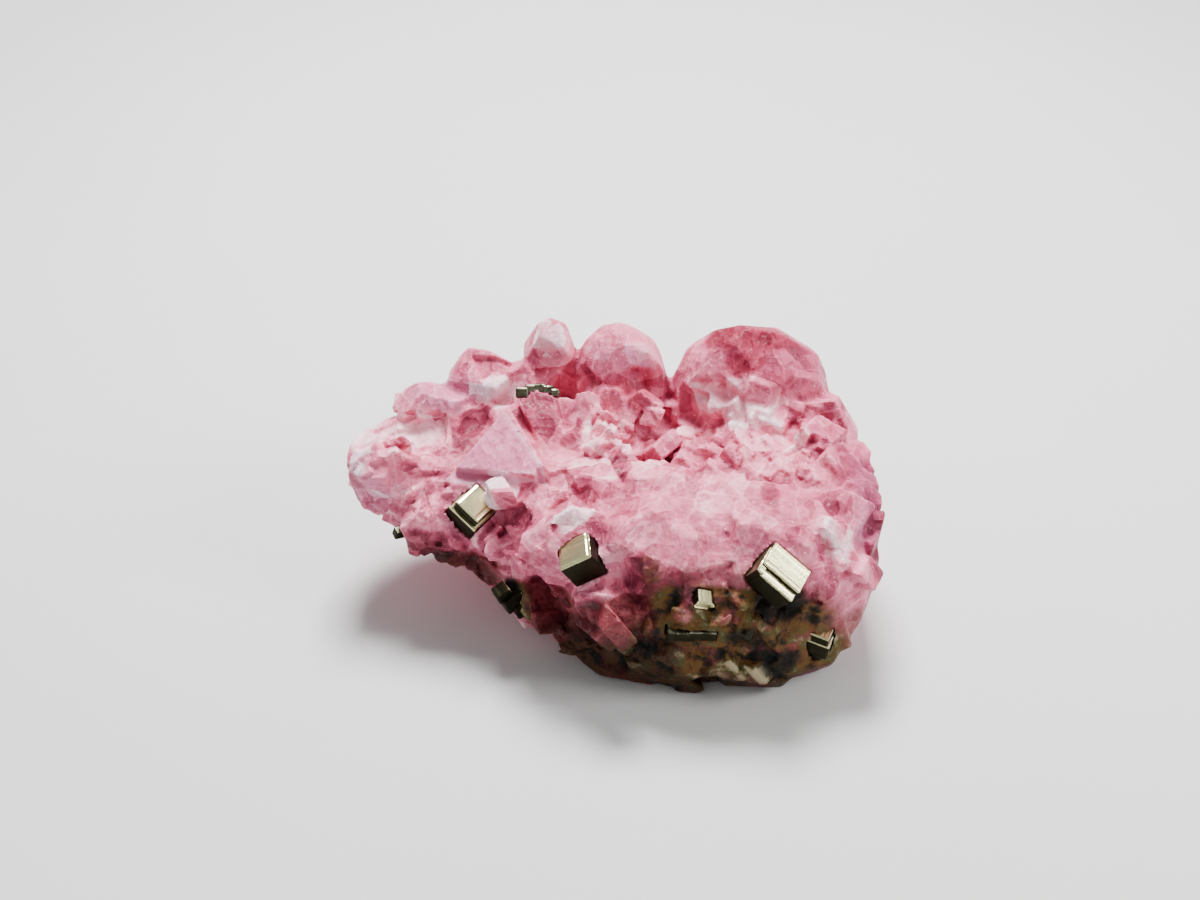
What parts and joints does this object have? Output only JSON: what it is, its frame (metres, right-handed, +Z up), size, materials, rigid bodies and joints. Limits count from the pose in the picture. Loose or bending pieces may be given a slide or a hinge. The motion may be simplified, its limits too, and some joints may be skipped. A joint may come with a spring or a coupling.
{
  "type": "mineral specimen",
  "caption": "Small chip of pink rhodochrosite with rounded crystals along its back, a thin wing to one side and brassy pyrite cubes set in its front.",
  "frame": {"origin": "middle of the specimen's box in X and Y, on the surface that it rests on", "axes": "+X to the right seen from the front, from the thin wing to the blunt end; +Y to the back, where the tall crystals stand; +Z up"},
  "size_m": [0.0266, 0.0169, 0.0126],
  "materials": {
    "rhodochrosite": "vitreous to sugary, broken crystal faces",
    "pyrite_bright": "metallic, finely striated",
    "pyrite_dark": "tarnished, dull metallic"
  },
  "bodies": {
    "root": {"rhodochrosite": "rhodochrosite", "pyrite_left": "pyrite_bright", "pyrite_centre": "pyrite_bright", "pyrite_right": "pyrite_bright", "pyrite_low_left": "pyrite_bright", "pyrite_top": "pyrite_dark", "pyrite_speck": "pyrite_dark", "pyrite_low_right": "pyrite_bright", "pyrite_gold_grain": "pyrite_bright", "pyrite_dark_grain": "pyrite_dark"}
  },
  "joints": []
}
